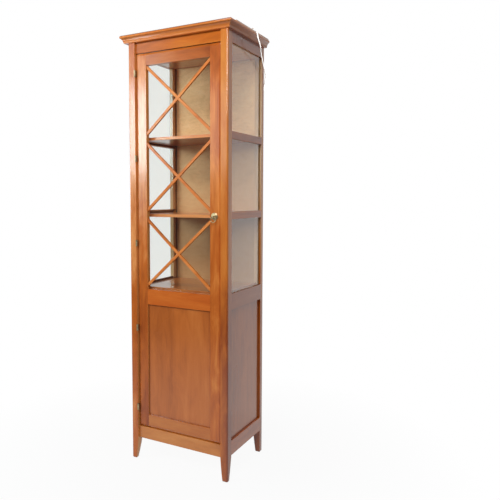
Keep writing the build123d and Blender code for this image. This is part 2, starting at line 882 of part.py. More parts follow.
def lead_points():
    """Route of the lead from the gland to the coil: over the edge, down the back, and onto the floor."""
    points = [(half_width + out, rear_y - back, z) for out, back, z in lead_over]
    top = Vector(*points[-1])
    foot_x = coil_x + coil_turn_radius
    foot = Vector(foot_x, rear_y + lead_foot_back, hang_foot_z)
    for place in range(1, hang_points + 1):
        share = place / hang_points
        spot = top + (foot - top) * share
        sag = hang_bow * sin(pi * share)
        points.append((spot.X - sag, spot.Y + sag / 8, spot.Z))
    points.append((foot_x + 1, foot.Y - 1 / 2, (hang_foot_z + coil_z + lead_foot_radius / 3) / 2))
    bend_y = foot.Y + lead_foot_radius
    bend_z = coil_z + lead_foot_radius
    reach = lead_foot_radius / cos(radians(15))
    for angle in (15, 45, 75):
        along, up = cos(radians(angle)), sin(radians(angle))
        points.append((foot_x, bend_y - reach * along, bend_z - reach * up))
    points.append((foot_x, coil_y - cord_diameter, coil_z))
    return points


def tail_points():
    """Route from the coil's upper end down to the plug."""
    start = coil_x - coil_turn_radius
    bend_x = start - lead_foot_radius
    bend_y = rear_y + lead_foot_back + lead_foot_radius
    reach = lead_foot_radius / cos(radians(15))
    points = [(start, coil_y - cord_diameter, upper_coil_z)]
    for angle, z in ((15, upper_coil_z), (45, upper_coil_z - 2.5), (75, upper_coil_z - 5.0)):
        along, up = cos(radians(angle)), sin(radians(angle))
        points.append((bend_x + reach * along, bend_y - reach * up, z))
    points.append((plug_end_x + 12, rear_y + lead_foot_back, plug_height / 2))
    points.append((plug_end_x, rear_y + lead_foot_back, plug_height / 2))
    return points


def lamp_lead_points():
    """Route inside the top, from the gland to the side of the lamp."""
    lamp_y = front_y + lamp_back
    rest_z = ceiling_z + ceiling_thickness + lamp_lead_diameter
    return [
        (gland_x, gland_y, top_z),
        (gland_x, gland_y, top_z - 26),
        (gland_x - 7, gland_y - 11, top_z - 51),
        (gland_x - 32, gland_y - 50, rest_z + 6),
        (lamp_radius + 66, lamp_y + 13, rest_z),
        (lamp_radius + 31, lamp_y, rest_z),
        (lamp_radius, lamp_y, rest_z),
    ]


def coil_radius(place):
    """Radius of the coil at a half turn, wound in and then out again one layer up."""
    inward = min(place, coil_half_turns)
    outward = max(place - coil_half_turns - 1, 0)
    return coil_turn_radius - (inward - outward) * coil_pitch / 2


def coil_spot(place):
    """Point and heading of the coil at a half turn."""
    side = 1 if place % 2 == 0 else -1
    z = coil_z if place <= coil_half_turns else upper_coil_z
    return Vector(coil_x + side * coil_radius(place), coil_y, z), Vector(0, side, 0)


def make_coil():
    """Two flat layers of turns, wound in and out as one unbroken tube."""
    last = 2 * coil_half_turns + 1
    with BuildPart() as coil:
        with BuildLine() as route:
            start, heading = coil_spot(0)
            Line(start - heading * cord_diameter, start)
            for place in range(last):
                start, heading = coil_spot(place)
                end, _ = coil_spot(place + 1)
                half = (end - start).length / 2
                joint = (start + end) / 2 + heading * half
                TangentArc(start, joint, tangent=heading)
                TangentArc(joint, end, tangent=end - start)
            end, heading = coil_spot(last)
            Line(end, end + heading * cord_diameter)
        path = route.wires()[0]
        with BuildSketch(Plane(origin=path @ 0, z_dir=path % 0)):
            Circle(cord_radius)
        sweep(path=path)
    report_coil(path)
    return coil


def report_coil(route):
    """Print the coil's length and its least gap to itself, measured on points along it."""
    count = 700
    step = route.length / count
    apart = int(4 * cord_diameter / step)
    spots = [route @ (place / count) for place in range(count + 1)]
    least = min(
        (spots[first] - spots[second]).length
        for first in range(count + 1)
        for second in range(first + apart, count + 1)
    )
    print("cord_coil length", round(route.length), "least gap", round(least - cord_diameter, 2))


def make_tie():
    """Band round the strands on the coil's far side."""
    inner_turn = coil_turn_radius - (coil_half_turns - 1 / 2) * coil_pitch / 2
    outer_turn = coil_turn_radius - coil_pitch / 4
    low_y = coil_y + inner_turn - cord_radius - tie_gap - tie_slack
    high_y = coil_y + outer_turn + cord_radius + tie_gap
    low_z = tie_thickness
    high_z = upper_coil_z + cord_radius + tie_gap
    with BuildPart() as tie:
        with BuildSketch(Plane.YZ.offset(coil_x)):
            with Locations(((low_y + high_y) / 2, (low_z + high_z) / 2)):
                Rectangle(high_y - low_y, high_z - low_z)
            offset(amount=tie_thickness, kind=Kind.ARC)
            with Locations(((low_y + high_y) / 2, (low_z + high_z) / 2)):
                Rectangle(high_y - low_y, high_z - low_z, mode=Mode.SUBTRACT)
        extrude(amount=tie_width / 2, both=True)
    return tie


def make_gland():
    """Low outlet box on the top board, with a tapered strain relief."""
    with BuildPart() as gland:
        with BuildSketch(Plane.XY.offset(top_z)):
            with Locations((gland_x, gland_y)):
                RectangleRounded(gland_length, gland_width, gland_round)
        extrude(amount=gland_height)
        fillet(faces().sort_by(Axis.Z)[-1].edges(), radius=gland_round / 2)
        mouth = Plane(origin=(mouth_x, gland_y, top_z + cord_rise), z_dir=(1, 0, 0))
        with BuildSketch(mouth):
            Circle(relief_tip_radius)
        with BuildSketch(mouth.offset(-relief_length - gland_round)):
            Circle(relief_radius)
        loft()
    return gland


def make_plug():
    """Flat two pin plug lying on the floor, with its moulded strain relief."""
    axis_y = rear_y + lead_foot_back
    middle = plug_height / 2
    neck_x = plug_end_x - relief_length
    face_x = neck_x - plug_length
    with BuildPart() as plug:
        with BuildSketch():
            with BuildLine():
                Polyline(
                    (neck_x, axis_y - plug_neck_width / 2),
                    (neck_x, axis_y + plug_neck_width / 2),
                    (face_x + plug_length / 3, axis_y + plug_width / 2),
                    (face_x, axis_y + plug_width / 2),
                    (face_x, axis_y - plug_width / 2),
                    (face_x + plug_length / 3, axis_y - plug_width / 2),
                    close=True,
                )
            make_face()
        extrude(amount=plug_height)
        fillet(edges().filter_by(Axis.Z), radius=plug_round)
        fillet(faces().filter_by(Axis.Z).edges(), radius=plug_round / 2)
        mouth = Plane(origin=(plug_end_x, axis_y, middle), z_dir=(-1, 0, 0))
        with BuildSketch(mouth):
            Circle(relief_tip_radius)
        with BuildSketch(mouth.offset(relief_length + plug_round)):
            Circle(relief_radius)
        loft()
        for side in (-1, 1):
            root = Plane(origin=(face_x + plug_round, axis_y + side * plug_pin_spacing / 2, middle), z_dir=(-1, 0, 0))
            with BuildSketch(root):
                Circle(plug_pin_radius)
            extrude(amount=plug_pin_length + plug_round)
    return plug


def main():
    """Build every piece in place and write it."""
    os.makedirs("parts", exist_ok=True)
    post_front = make_post_front()
    save(post_front, "post_front_right")
    hinge_post = mirrored(post_front)
    with hinge_post:
        cut_hinge_notches()
    save(hinge_post, "post_front_left")
    post_rear = make_post_rear()
    save(post_rear, "post_rear_right")
    save(mirrored(post_rear), "post_rear_left")

    save(make_frieze(), "top_rail_front")
    save(make_front_apron(), "apron_front")
    rear_high = make_rear_rail(rear_rail_z, body_height, rear_rail_z, rear_rail_z + back_lap)
    save(rear_high, "top_rail_rear")
    rear_low = make_rear_rail(side_apron_bottom, side_apron_z, side_apron_z - back_lap, side_apron_z)
    save(rear_low, "apron_rear")

    apron, deck_rail, lower_rail, upper_rail, top_rail = side_rails
    pairs = {
        "apron": make_side_rail(*apron, "panel", None, floor_board_z),
        "rail_deck": make_side_rail(*deck_rail, "glass", "panel", deck_z),
        "rail_lower": make_side_rail(*lower_rail, "glass", "glass", shelf_lower_z + shelf_tongue_rise),
        "rail_upper": make_side_rail(*upper_rail, "glass", "glass", shelf_upper_z + shelf_tongue_rise),
        "top_rail": make_side_rail(*top_rail, None, "glass"),
        "side_glass": make_side_glass(),
        "glazing_beads": make_side_beads(),
        "side_panel": make_side_panel(),
        "cornice": make_cornice_side(),
    }
    for name, piece in pairs.items():
        save(piece, name + "_right")
        save(mirrored(piece), name + "_left")
    save(make_cornice_front(), "cornice_front")
    save(make_top_board(), "top_board")
    save(make_ceiling(), "ceiling_panel")
    save(make_back(), "back_panel")

    shelf_y = (front_y + shelf_setback, back_y)
    save(make_board(shelf_upper_z, shelf_thickness, shelf_y, shelf_tongue_rise), "shelf_upper")
    save(make_board(shelf_lower_z, shelf_thickness, shelf_y, shelf_tongue_rise), "shelf_lower")
    deck_y = (frame_back_y + strike_thickness + catch_gap, back_y)
    save(make_board(deck_z, deck_thickness, deck_y, 0), "deck_board")
    floor_y = (frame_back_y, rear_y - rear_rail_thickness)
    save(make_board(floor_board_z, floor_board_thickness, floor_y, 0), "bottom_board")

    lock_stile = make_door_stile()
    save(lock_stile, "door_stile_lock")
    save(mirrored(lock_stile), "door_stile_hinge")
    bottom_rail, middle_rail, top_door_rail = door_rails
    save(make_door_rail(*bottom_rail, above="panel"), "door_rail_bottom")
    save(make_door_rail(*middle_rail, above="glass", below="panel"), "door_rail_middle")
    save(make_door_rail(*top_door_rail, below="glass"), "door_rail_top")
    save(make_door_panel(), "door_panel")
    save(make_door_glass(), "door_glass")
    save(make_door_beads(), "door_beads")
    for place, name in enumerate(("lower", "middle", "upper")):
        cross = make_lattice(lattice_low_z + place * lattice_pitch)
        cross.label = "lattice_" + name
        export_step(cross, f"parts/lattice_{name}.step")

    leaf = (door_gap - hinge_leaf_play) / 2
    save(make_leaves((-door_x - leaf, -door_x), (1,)), "hinge_leaves_door")
    save(make_leaves((-bay_x, -bay_x + leaf), (0, 2)), "hinge_leaves_post")
    save(make_pins(), "hinge_pins")
    save(make_rosette(), "pull_rosette")
    save(make_ring(), "pull_ring")
    save(make_catch(), "catch_magnet")
    save(make_strike(), "catch_strike")

    save(make_lamp_body(), "lamp_body")
    save(make_lens(), "lamp_lens")
    save(make_tube(lamp_lead_points(), lamp_lead_diameter, "lamp_lead"), "lamp_lead")
    save(make_gland(), "cord_gland")
    lead = make_tube(lead_points(), cord_diameter, "cord_lead")
    tail = make_tube(tail_points(), cord_diameter, "cord_tail")
    with BuildPart() as free_cord:
        add(lead.part)
        add(tail.part)
    save(free_cord, "cord_lead")
    save(make_coil(), "cord_coil")
    save(make_tie(), "cord_tie")
    save(make_plug(), "plug")


main()
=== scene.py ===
"""Looks for the tall display cabinet: wood, glass, brass, its white lead, soft studio light and the camera."""

from math import cos, pi, radians, sin
from typing import NamedTuple

import bpy
from mathutils import Matrix, Vector


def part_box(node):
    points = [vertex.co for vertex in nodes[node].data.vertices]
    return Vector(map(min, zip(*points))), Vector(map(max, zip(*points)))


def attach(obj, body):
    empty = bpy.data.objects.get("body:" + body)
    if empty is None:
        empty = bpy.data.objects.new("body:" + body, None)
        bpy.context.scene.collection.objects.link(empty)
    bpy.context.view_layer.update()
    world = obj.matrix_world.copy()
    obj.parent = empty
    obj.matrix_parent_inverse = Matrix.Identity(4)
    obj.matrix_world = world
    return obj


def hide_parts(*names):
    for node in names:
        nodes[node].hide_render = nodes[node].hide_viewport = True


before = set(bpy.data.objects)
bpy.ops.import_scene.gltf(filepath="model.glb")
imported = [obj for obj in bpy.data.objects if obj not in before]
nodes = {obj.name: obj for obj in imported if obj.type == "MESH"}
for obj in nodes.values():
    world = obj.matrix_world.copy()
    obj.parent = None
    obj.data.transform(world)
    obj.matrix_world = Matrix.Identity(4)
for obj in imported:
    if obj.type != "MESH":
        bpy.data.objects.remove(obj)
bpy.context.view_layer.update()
scene = bpy.context.scene
scene.view_settings.view_transform = "Standard"


def mm(*values):
    """Millimetres as metres."""
    return tuple(value / 1000 for value in values)


def add_object(name, data):
    """New object in the scene."""
    made = bpy.data.objects.new(name, data)
    scene.collection.objects.link(made)
    return made


def add_mesh(name, corners, faces):
    """New object in the scene from corners and faces."""
    mesh = bpy.data.meshes.new(name)
    mesh.from_pydata(corners, [], faces)
    return add_object(name, mesh)


# Camera: where its axis falls in the square frame in pixels, how it is turned, and where it stands in mm

FRAME = 500
AXIS_X = 229.083
AXIS_Y = 237.929
AZIMUTH = radians(28.138)
PITCH = radians(4.168)
ROLL = radians(0.109)
STAND = (1343.75, -2184.30, 1228.27)

back = Vector((sin(AZIMUTH) * cos(PITCH), -cos(AZIMUTH) * cos(PITCH), sin(PITCH)))
level = back.cross(Vector((0, 0, -1))).normalized()
upright = level.cross(-back)
image_right = cos(ROLL) * level + sin(ROLL) * upright
image_up = -sin(ROLL) * level + cos(ROLL) * upright
lens_data = bpy.data.cameras.new("camera")
lens_data.sensor_width = 36
lens_data.lens = 39.6993
lens_data.shift_x = (FRAME / 2 - AXIS_X) / FRAME
lens_data.shift_y = (AXIS_Y - FRAME / 2) / FRAME
lens_data.clip_start = 0.05
lens_data.clip_end = 60
camera = add_object("camera", lens_data)
place = Matrix((image_right, image_up, back)).transposed().to_4x4()
place.translation = Vector(mm(*STAND))
camera.matrix_world = place
scene.camera = camera


# The lead's route in mm, as in the part: over the cornice, down the back, a coil of two layers, and the plug

HALF_WIDTH = 256.0
REAR = 188.5
CORD = 5.5
COIL_X = 61.5
COIL_Y = REAR + 60.0
COIL_R = 38.5
COIL_PITCH = 7.1
COIL_LOW = 1.2 + 0.3 + CORD / 2
COIL_HIGH = COIL_LOW + COIL_PITCH
COIL_HALF_TURNS = 5
FOOT_R = 32.0
FOOT_BACK = 14.0
FOOT_TOP = 90.0
HANG_POINTS = 22
HANG_SAG = 26
PLUG_END = COIL_X - COIL_R - 58.5
PLUG_STRAIGHT = 12
PLUG_MIDDLE = 6.75

# Points on a bend stand this many degrees apart, and a little outside the circle that the curve then follows
BEND_STEP = 30
QUARTER_BEND = range(BEND_STEP // 2, 90, BEND_STEP)
HALF_BEND = range(BEND_STEP // 2, 180, BEND_STEP)
BEND_COSINE = cos(radians(BEND_STEP / 2))

# Each point's way out from the side, in from the rear, and height
OVER_CORNICE = (
    (-49.0, 128.0, 1961.0),
    (-28.0, 128.0, 1961.0),
    (0.1, 134.1, 1970.7),
    (16.6, 141.2, 1970.1),
    (29.9, 149.0, 1960.3),
    (37.5, 153.7, 1941.8),
    (39.6, 149.1, 1917.9),
    (41.1, 139.8, 1905.0),
    (37.7, 118.9, 1887.9),
    (30.0, 101.4, 1876.3),
    (21.3, 75.7, 1861.1),
    (15.8, 48.3, 1844.2),
    (11.2, 26.7, 1826.6),
    (10.0, 4.2, 1803.3),
    (5.9, -9.0, 1780.9),
    (-10.0, -18.5, 1740.0),
)


def lead_route():
    """From the gland to the floor behind the cabinet."""
    points = [(HALF_WIDTH + out, REAR - inward, z) for out, inward, z in OVER_CORNICE]
    top = Vector(points[-1])
    foot = Vector((COIL_X + COIL_R, REAR + FOOT_BACK, FOOT_TOP))
    for step in range(1, HANG_POINTS + 1):
        share = step / HANG_POINTS
        spot = top + (foot - top) * share
        sag = HANG_SAG * sin(pi * share)
        points.append((spot.x - sag, spot.y + sag / 8, spot.z))
    points.append((foot.x + 1, foot.y - 0.5, (FOOT_TOP + COIL_LOW + FOOT_R / 3) / 2))
    reach = FOOT_R / BEND_COSINE
    for angle in QUARTER_BEND:
        along, up = cos(radians(angle)), sin(radians(angle))
        points.append((foot.x, foot.y + FOOT_R - reach * along, COIL_LOW + FOOT_R - reach * up))
    points.append((foot.x, COIL_Y - CORD, COIL_LOW))
    return points


def coil_spot(half_turn):
    """Place across the coil, positive on its right, and height at a half turn."""
    side = 1 if half_turn % 2 == 0 else -1
    inward = min(half_turn, COIL_HALF_TURNS)
    outward = max(half_turn - COIL_HALF_TURNS - 1, 0)
    radius = COIL_R - (inward - outward) * COIL_PITCH / 2
    height = COIL_LOW if half_turn <= COIL_HALF_TURNS else COIL_HIGH
    return side * radius, height


def coil_route():
    """Wound in and then out again one layer up, twelve points to a turn."""
    points = []
    for half_turn in range(2 * COIL_HALF_TURNS + 1):
        start, low = coil_spot(half_turn)
        end, high = coil_spot(half_turn + 1)
        middle = (start + end) / 2
        reach = abs(start - end) / 2 / BEND_COSINE
        for angle in HALF_BEND:
            turn = radians(angle + 180 * (half_turn % 2))
            z = low + (high - low) * angle / 180
            points.append((COIL_X + middle + reach * cos(turn), COIL_Y + reach * sin(turn), z))
    return points


def tail_route():
    """From the coil's upper end down to the plug."""
    start = COIL_X - COIL_R
    points = [(start, COIL_Y - CORD, COIL_HIGH)]
    reach = FOOT_R / BEND_COSINE
    for angle, drop in zip(QUARTER_BEND, (0, 2.5, 5)):
        along, up = cos(radians(angle)), sin(radians(angle))
        x = start - FOOT_R + reach * along
        points.append((x, REAR + FOOT_BACK + FOOT_R - reach * up, COIL_HIGH - drop))
    points.append((PLUG_END + PLUG_STRAIGHT, REAR + FOOT_BACK, PLUG_MIDDLE))
    points.append((PLUG_END, REAR + FOOT_BACK, PLUG_MIDDLE))
    return points


def smooth_line(name, points, diameter):
    """One open curve that follows its control points, with a round section."""
    data = bpy.data.curves.new(name, "CURVE")
    data.dimensions = "3D"
    data.resolution_u = 8
    data.bevel_depth = 1.0
    data.bevel_resolution = 6
    data.use_fill_caps = True
    spline = data.splines.new("NURBS")
    spline.points.add(len(points) - 1)
    for point, spot in zip(spline.points, points):
        point.co = (*mm(*spot), 1)
        point.radius = diameter / 2
    spline.order_u = 3
    spline.use_endpoint_u = True
    return add_object(name, data)


lead = smooth_line("lead", lead_route() + coil_route() + tail_route(), CORD / 1000)
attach(lead, "carcass")
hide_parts("cord_lead", "cord_coil")


# A slim bead on the deck along each side, where the photograph shows the rail above the deck

BEAD_WIDTH = 0.006
BEAD_HEIGHT = 0.009
BOX_FACES = ((0, 1, 3, 2), (4, 6, 7, 5), (0, 4, 5, 1), (2, 3, 7, 6), (0, 2, 6, 4), (1, 5, 7, 3))


def deck_bead(side, inward):
    """Plain strip on the deck against the side rail, from post to post."""
    low, high = (Vector(corner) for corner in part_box("rail_deck_" + side))
    wall = high.x if inward > 0 else low.x
    deck_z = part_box("deck_board")[1][2]
    front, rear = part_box("post_front_" + side)[1][1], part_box("post_rear_" + side)[0][1]
    xs = sorted((wall, wall + inward * BEAD_WIDTH))
    corners = [(x, y, z) for x in xs for y in (front, rear) for z in (deck_z, deck_z + BEAD_HEIGHT)]
    bead = add_mesh("deck_bead_" + side, corners, BOX_FACES)
    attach(bead, "carcass")
    return bead


beads = {"deck_bead_left": deck_bead("left", 1), "deck_bead_right": deck_bead("right", -1)}


# Materials


class Shader:
    """Adds and joins the shader nodes of a material or of the world."""

    def __init__(self, owner, output="ShaderNodeOutputMaterial"):
        self.owner = owner
        owner.use_nodes = True
        self.tree = owner.node_tree
        self.tree.nodes.clear()
        self.output = self.node(output)

    def node(self, kind, settings=None, **inputs):
        """A node with its settings, and a value or a link on each socket that is named, with _ for a space."""
        made = self.tree.nodes.new(kind)
        for key, value in (settings or {}).items():
            setattr(made, key, value)
        for key, value in inputs.items():
            self.feed(made.inputs[key.replace("_", " ")], value)
        return made

    def feed(self, socket, value):
        """Links a socket to another one, or sets its own value."""
        if isinstance(value, bpy.types.NodeSocket):
            self.tree.links.new(value, socket)
        else:
            socket.default_value = value

    def math(self, operation, first, second):
        """Two values put together."""
        made = self.node("ShaderNodeMath", {"operation": operation})
        self.feed(made.inputs[0], first)
        self.feed(made.inputs[1], second)
        return made.outputs[0]

    def mix(self, share, first, second):
        """A colour with a share of a second one. The colours' own sockets are 6, 7 and 2."""
        made = self.node("ShaderNodeMix", {"data_type": "RGBA"})
        self.feed(made.inputs[0], share)
        self.feed(made.inputs[6], first)
        self.feed(made.inputs[7], second)
        return made.outputs[2]

    def mix_shaders(self, share, first, second):
        """A shader with a share of a second one."""
        made = self.node("ShaderNodeMixShader", Fac=share)
        self.feed(made.inputs[1], first)
        self.feed(made.inputs[2], second)
        return made.outputs[0]

    def ramp(self, value, *stops):
        """Colour by a value, with a stop at each given position."""
        made = self.node("ShaderNodeValToRGB", Fac=value)
        marks = made.color_ramp.elements
        while len(marks) < len(stops):
            marks.new(0.5)
        for mark, (position, colour) in zip(marks, stops):
            mark.position = position
            mark.color = colour
        return made.outputs[0]

    def span(self, value, low, high, to_low, to_high):
        """A value from one span carried over to another one, and held at its ends."""
        made = self.node("ShaderNodeMapRange", {"clamp": True}, Value=value)
        for socket, number in zip(made.inputs[1:5], (low, high, to_low, to_high)):
            socket.default_value = number
        return made.outputs[0]

    def noise(self, where, scale, detail, roughness, distortion=0.0):
        """Noise about a half."""
        made = self.node(
            "ShaderNodeTexNoise",
            Vector=where,
            Scale=scale,
            Detail=detail,
            Roughness=roughness,
            Distortion=distortion,
        )
        return made.outputs[0]

    def stretched(self, scale=(1, 1, 1), shift=(0, 0, 0)):
        """Place on the object, scaled and shifted."""
        where = self.node("ShaderNodeTexCoord").outputs["Object"]
        return self.node("ShaderNodeMapping", Vector=where, Location=shift, Scale=scale).outputs[0]

    def axes(self, vector):
        """A vector's X, Y and Z."""
        return self.node("ShaderNodeSeparateXYZ", Vector=vector).outputs

    def openness(self, reach):
        """One in the open, and less where other surfaces stand within reach."""
        return self.node("ShaderNodeAmbientOcclusion", {"samples": 6}, Distance=reach).outputs["AO"]

    def bump(self, strength, depth, height):
        """Normals of a fine relief."""
        return self.node("ShaderNodeBump", Strength=strength, Distance=depth, Height=height).outputs[0]

    def finish(self, surface):
        """Joins the surface to the output and gives back what the nodes belong to."""
        self.tree.links.new(surface, self.output.inputs["Surface"])
        return self.owner


def srgb(red, green, blue):
    """A colour given in 0 to 255, as the linear values that a shader takes."""
    linear = []
    for value in (red, green, blue):
        share = value / 255
        linear.append(share / 12.92 if share <= 0.04045 else ((share + 0.055) / 1.055) ** 2.4)
    return (*linear, 1.0)


class PaintedFacing(NamedTuple):
    """Painted light and shade: a share of another colour on the faces that look along an axis, from a height
    upwards.
    """

    axis: str
    low: float
    high: float
    share: float
    colour: tuple
    start: float = -1.0


# How much shorter the figure of the wood is drawn along its grain
ALONG = {"x": (0.05, 1.0, 1.0), "y": (1.0, 0.05, 1.0), "z": (1.0, 1.0, 0.05)}

# Heights in m: where the tone changes with height, partly its own and partly painted light, where painted shade
# darkens uprights towards their top, and how slowly painted light and shade on facing faces come in
PALER_FROM, PALER_TO = 0.68, 1.0
DARKER_FROM, DARKER_TO = 1.55, 1.85
PAINTED_FACING_RISE = 0.3

# How far painted shade reaches into corners and in from rims, and in what colour
CORNER_REACH = 0.008
RIM_REACH = 0.06
CORNER_SHADE_PAINT = srgb(74, 34, 14)
RIM_SHADE_PAINT = srgb(96, 40, 14)


def make_wood(
    name,
    grain,
    dark,
    body,
    light,
    rough=0.30,
    shift=0.0,
    figure=1.0,
    height_tone_and_light=0.0,
    coat=1.0,
    painted_rim_shade=0.0,
    painted_top_shade=0.0,
    painted_corner_shade=0.28,
    painted_facing=None,
):
    """Stained and varnished hardwood: streaks, pores, slow changes of tone, and a tone that changes with height,
    partly its own and partly painted light and shade by height.

    A shift gives pieces of one grain different streaks, figure is how strong these are, and height_tone_and_light
    is how much the tone changes with height. Painted shade darkens corners, a panel's rim and an upright's top, and
    painted light and shade change faces along an axis.
    """
    s = Shader(bpy.data.materials.new(name))
    dark, body, light = srgb(*dark), srgb(*body), srgb(*light)
    scale = ALONG[grain]
    offset = (shift, shift * 1.7, shift * 0.6)
    streaks = s.noise(s.stretched(scale, offset), 38, 5, 0.6, 0.5)
    fine = s.noise(s.stretched(scale, offset), 260, 3, 0.6)
    half_way = tuple(part**0.45 for part in scale)
    slow = s.noise(s.stretched(half_way, offset), 4.5, 3, 0.5, 0.6)
    clouds = s.noise(s.stretched(half_way, offset), 17, 4, 0.6, 0.8)
    height = s.axes(s.stretched())["Z"]
    # The tone changes with height: partly the wood's own tone, partly painted light and shade
    value = s.span(height, PALER_FROM, PALER_TO, 0.5 - height_tone_and_light, 0.5 + height_tone_and_light)
    # Painted shade: uprights darken towards their top, below the cornice
    if painted_top_shade:
        value = s.math("SUBTRACT", value, s.span(height, DARKER_FROM, DARKER_TO, 0.0, painted_top_shade))
    for part, weight in ((streaks, 0.42), (slow, 1.1), (clouds, 0.75), (fine, 0.2)):
        swing = s.math("MULTIPLY", s.math("SUBTRACT", part, 0.5), weight * figure)
        value = s.math("ADD", swing, value)
    colour = s.ramp(value, (0.12, dark), (0.5, body), (0.88, light))
    pores = s.noise(s.stretched(scale, offset), 900, 2, 0.5)
    colour = s.mix(s.span(pores, 0.60, 0.72, 0.0, 0.2 * figure), colour, dark)
    # Painted shade: corners darken where other surfaces stand close
    colour = s.mix(s.span(s.openness(CORNER_REACH), 0.3, 0.9, painted_corner_shade, 0.0), colour, CORNER_SHADE_PAINT)
    # Painted shade: a panel darkens along its rim, in the shade of its frame
    if painted_rim_shade:
        colour = s.mix(s.span(s.openness(RIM_REACH), 0.55, 1.0, painted_rim_shade, 0.0), colour, RIM_SHADE_PAINT)
    # Painted light and shade: faces that look along an axis turn lighter or darker
    if painted_facing:
        facing = s.axes(s.node("ShaderNodeNewGeometry").outputs["Normal"])[painted_facing.axis]
        turned = s.span(facing, painted_facing.low, painted_facing.high, 0.0, painted_facing.share)
        turned = s.math("MULTIPLY", turned, s.span(height, painted_facing.start, painted_facing.start + PAINTED_FACING_RISE, 0.0, 1.0))
        colour = s.mix(turned, colour, srgb(*painted_facing.colour))
    surface = s.node(
        "ShaderNodeBsdfPrincipled",
        Base_Color=colour,
        Roughness=s.span(slow, 0.3, 0.7, rough - 0.04, rough + 0.06),
        IOR=1.5,
        Specular_IOR_Level=0.12,
        Coat_Weight=coat,
        Coat_Roughness=0.15,
        Normal=s.bump(0.12, 0.0004, fine),
    )
    return s.finish(surface.outputs[0])


# Heights in m between which the painted shade at the back board's foot gives way to its own colour
BOARD_SHADE_FROM, BOARD_SHADE_TO = 0.9, 1.7


def make_ply():
    """Thin inner back board: mottled tan veneer with a faint open weave of pores, and painted shade that darkens it
    towards its foot.
    """
    s = Shader(bpy.data.materials.new("back_board"))
    mottle = s.noise(s.stretched((0.6, 1, 1)), 22, 5, 0.7, 0.8)
    streaks = s.noise(s.stretched((0.25, 1, 1)), 90, 4, 0.65, 0.3)
    speck = s.noise(s.stretched((0.6, 1, 1)), 420, 2, 0.5)
    value = s.math("ADD", s.math("MULTIPLY", mottle, 0.6), s.math("MULTIPLY", streaks, 0.4))
    colour = s.ramp(value, (0.25, srgb(208, 160, 106)), (0.5, srgb(238, 191, 136)), (0.78, srgb(248, 213, 162)))
    colour = s.mix(s.span(speck, 0.55, 0.75, 0.0, 0.4), colour, srgb(120, 88, 58))
    height = s.axes(s.stretched())["Z"]
    # Painted shade: the board darkens towards its foot
    colour = s.mix(s.span(height, BOARD_SHADE_FROM, BOARD_SHADE_TO, 0.68, 0.0), colour, srgb(152, 92, 42))
    surface = s.node(
        "ShaderNodeBsdfPrincipled",
        Base_Color=colour,
        Roughness=0.62,
        Specular_IOR_Level=0.3,
        Normal=s.bump(0.1, 0.0004, speck),
    )
    return s.finish(surface.outputs[0])


def make_glass():
    """Clear window glass that lets lamps through."""
    s = Shader(bpy.data.materials.new("window_glass"))
    clear = s.node(
        "ShaderNodeBsdfPrincipled",
        Base_Color=(0.965, 0.985, 0.972, 1),
        Roughness=0.0,
        IOR=1.5,
        Transmission_Weight=1.0,
    )
    straight = s.node("ShaderNodeBsdfTransparent", Color=(0.93, 0.95, 0.94, 1))
    ray = s.node("ShaderNodeLightPath").outputs
    through = s.math("MAXIMUM", ray["Is Shadow Ray"], ray["Is Diffuse Ray"])
    mirrored = s.math("SUBTRACT", ray["Is Glossy Ray"], ray["Is Transmission Ray"])
    through = s.math("MAXIMUM", through, mirrored)
    return s.finish(s.mix_shaders(through, clear.outputs[0], straight.outputs[0]))


def make_metal(name, bright, dull, rough):
    """Metal with handling marks: brighter where rubbed, duller in patches."""
    s = Shader(bpy.data.materials.new(name))
    patches = s.noise(s.stretched(), 160, 4, 0.6, 0.4)
    colour = s.ramp(patches, (0.35, srgb(*dull)), (0.62, srgb(*bright)))
    gloss = s.span(patches, 0.3, 0.7, rough + 0.14, rough)
    surface = s.node("ShaderNodeBsdfPrincipled", Base_Color=colour, Roughness=gloss, Metallic=1.0)
    return s.finish(surface.outputs[0])


def make_plastic(name, colour, rough, worn=0.06):
    """Moulded plastic with a fine satin grain."""
    s = Shader(bpy.data.materials.new(name))
    grain = s.noise(s.stretched(), 900, 2, 0.5)
    tone = s.noise(s.stretched(), 40, 3, 0.5)
    surface = s.node(
        "ShaderNodeBsdfPrincipled",
        Base_Color=s.mix(s.span(tone, 0.3, 0.7, 0.0, worn), srgb(*colour), (0.30, 0.28, 0.24, 1)),
        Roughness=s.span(tone, 0.3, 0.7, rough, rough + 0.08),
        Normal=s.bump(0.08, 0.0002, grain),
    )
    return s.finish(surface.outputs[0])


# The stain's dark, body and light tone, where a piece has none of its own, and the painted shade of faces turned
# from the light
DARK = (144, 60, 14)
BODY = (196, 99, 30)
LIGHT = (222, 132, 52)
POST_TONES = ((152, 68, 20), (208, 114, 40), (230, 146, 64))
PAINTED_UNLIT_SHADE = (48, 42, 30)

wood_up = make_wood("wood_upright", "z", DARK, BODY, (246, 156, 74), height_tone_and_light=0.13, painted_top_shade=0.28)
# Painted highlight: the hinge side's paler light tone, and painted light on its inner faces
wood_hinge_painted_light = make_wood(
    "wood_hinge_side_painted_light",
    "z",
    DARK,
    BODY,
    (250, 172, 104),
    shift=0.4,
    height_tone_and_light=0.1,
    coat=0.85,
    painted_top_shade=0.18,
    painted_corner_shade=0.05,
    painted_facing=PaintedFacing("X", 0.4, 0.8, 0.8, (255, 182, 104)),
)
wood_post = make_wood("wood_post", "z", *POST_TONES, shift=1.3, height_tone_and_light=0.24)
